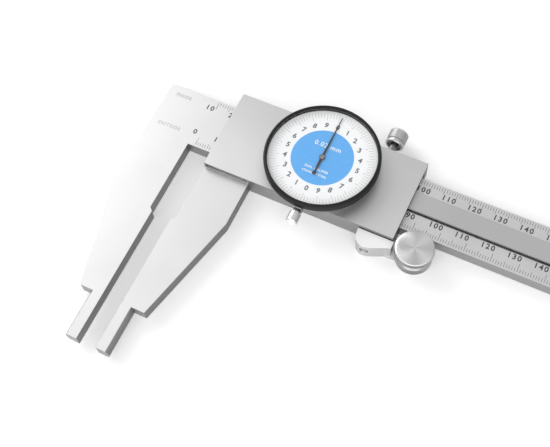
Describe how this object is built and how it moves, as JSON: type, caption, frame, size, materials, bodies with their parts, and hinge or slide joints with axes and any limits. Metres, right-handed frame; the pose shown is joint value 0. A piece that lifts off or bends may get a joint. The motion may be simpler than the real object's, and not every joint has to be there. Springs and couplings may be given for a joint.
{
  "type": "dial caliper",
  "caption": "Long-jaw dial caliper: a scaled steel beam with a fixed jaw, a slider with a moving jaw, a dial with a needle, a bezel clamp, a lock screw and a thumb roller.",
  "frame": {"origin": "middle of the thickness of the fixed jaw's measuring face, 60 mm below the beam's lower edge", "axes": "+X along the beam, the way the slider opens; +Y across the beam, from the jaws' tips to the beam; +Z out of the face with the scale and the dial"},
  "size_m": [0.4256, 0.1254, 0.0173],
  "materials": {
    "ground_steel": "ground stainless steel, fine grain along the beam, satin chrome scale",
    "satin_steel": "satin",
    "dark_steel": "oiled steel",
    "brass": "machined",
    "polished_steel": "polished",
    "black_bezel": "black, fine knurl",
    "needle_black": "semi-gloss black",
    "dial_white": "printed white with a light blue centre",
    "crystal_clear": "clear plastic"
  },
  "bodies": {
    "beam": {"beam": "ground_steel", "rack": "satin_steel", "rack_screw_1": "dark_steel", "rack_screw_2": "dark_steel", "rack_screw_3": "dark_steel", "end_stop": "satin_steel", "end_stop_screw_1": "dark_steel", "end_stop_screw_2": "dark_steel"},
    "slider": {"slider_frame": "satin_steel", "gib": "brass", "gib_screw_1": "dark_steel", "gib_screw_2": "dark_steel", "lock_pad": "brass", "back_plate_1": "satin_steel", "back_plate_2": "satin_steel", "back_plate_screw_1": "dark_steel", "back_plate_screw_2": "dark_steel", "back_plate_screw_3": "dark_steel", "back_plate_screw_4": "dark_steel", "dial_case": "dark_steel", "case_screw_1": "dark_steel", "case_screw_2": "dark_steel", "case_screw_3": "dark_steel", "bridge": "brass", "bridge_pillar_1": "brass", "bridge_pillar_2": "brass", "bridge_pillar_3": "brass", "bridge_screw_1": "dark_steel", "bridge_screw_2": "dark_steel", "bridge_screw_3": "dark_steel", "clamp_shoe": "dark_steel", "thumb_rest": "polished_steel", "thumb_rest_screw": "dark_steel", "thumb_rest_dowel": "dark_steel", "roller_pin": "dark_steel"},
    "needle": {"needle": "needle_black", "centre_arbor": "dark_steel"},
    "gear_arbor": {"rack_arbor": "dark_steel", "drive_wheel": "brass", "backlash_wheel": "brass", "backlash_spring": "dark_steel"},
    "bezel": {"bezel": "black_bezel", "crystal": "crystal_clear", "dial_face": "dial_white"},
    "roller": {"thumb_roller": "polished_steel"},
    "lock_screw": {"lock_screw": "polished_steel"},
    "clamp_screw": {"clamp_screw": "polished_steel"}
  },
  "joints": [
    {"name": "slider_slide", "type": "slide", "parent": "beam", "child": "slider", "axis": [1, 0, 0], "range_m": [-0.0078, 0.292]},
    {"name": "needle_turn", "type": "hinge", "parent": "slider", "child": "needle", "pos_m": [0.0508, 0.0712, 0.01125], "axis": [0, 0, 1], "continuous": true},
    {"name": "gear_arbor_turn", "type": "hinge", "parent": "slider", "child": "gear_arbor", "pos_m": [0.04325, 0.0663, 0.00825], "axis": [0, 0, 1], "continuous": true},
    {"name": "roller_turn", "type": "hinge", "parent": "slider", "child": "roller", "pos_m": [0.0955, 0.0529, 0.00275], "axis": [0, 0, 1], "continuous": true},
    {"name": "bezel_turn", "type": "hinge", "parent": "slider", "child": "bezel", "pos_m": [0.0508, 0.0712, 0.01075], "axis": [0, 0, 1], "continuous": true},
    {"name": "lock_screw_turn", "type": "hinge", "parent": "slider", "child": "lock_screw", "pos_m": [0.0713, 0.092, 0.0015], "axis": [0, 1, 0], "range_deg": [-60, 180]},
    {"name": "clamp_screw_turn", "type": "hinge", "parent": "slider", "child": "clamp_screw", "pos_m": [0.0508, 0.048, 0.00755], "axis": [0, 1, 0], "range_deg": [-180, 60]}
  ],
  "couplings": [
    {"joint": "needle_turn", "follows": "slider_slide", "rad_per_m": -3141.6},
    {"joint": "gear_arbor_turn", "follows": "slider_slide", "rad_per_m": 628.32},
    {"joint": "roller_turn", "follows": "slider_slide", "rad_per_m": 140.85}
  ]
}
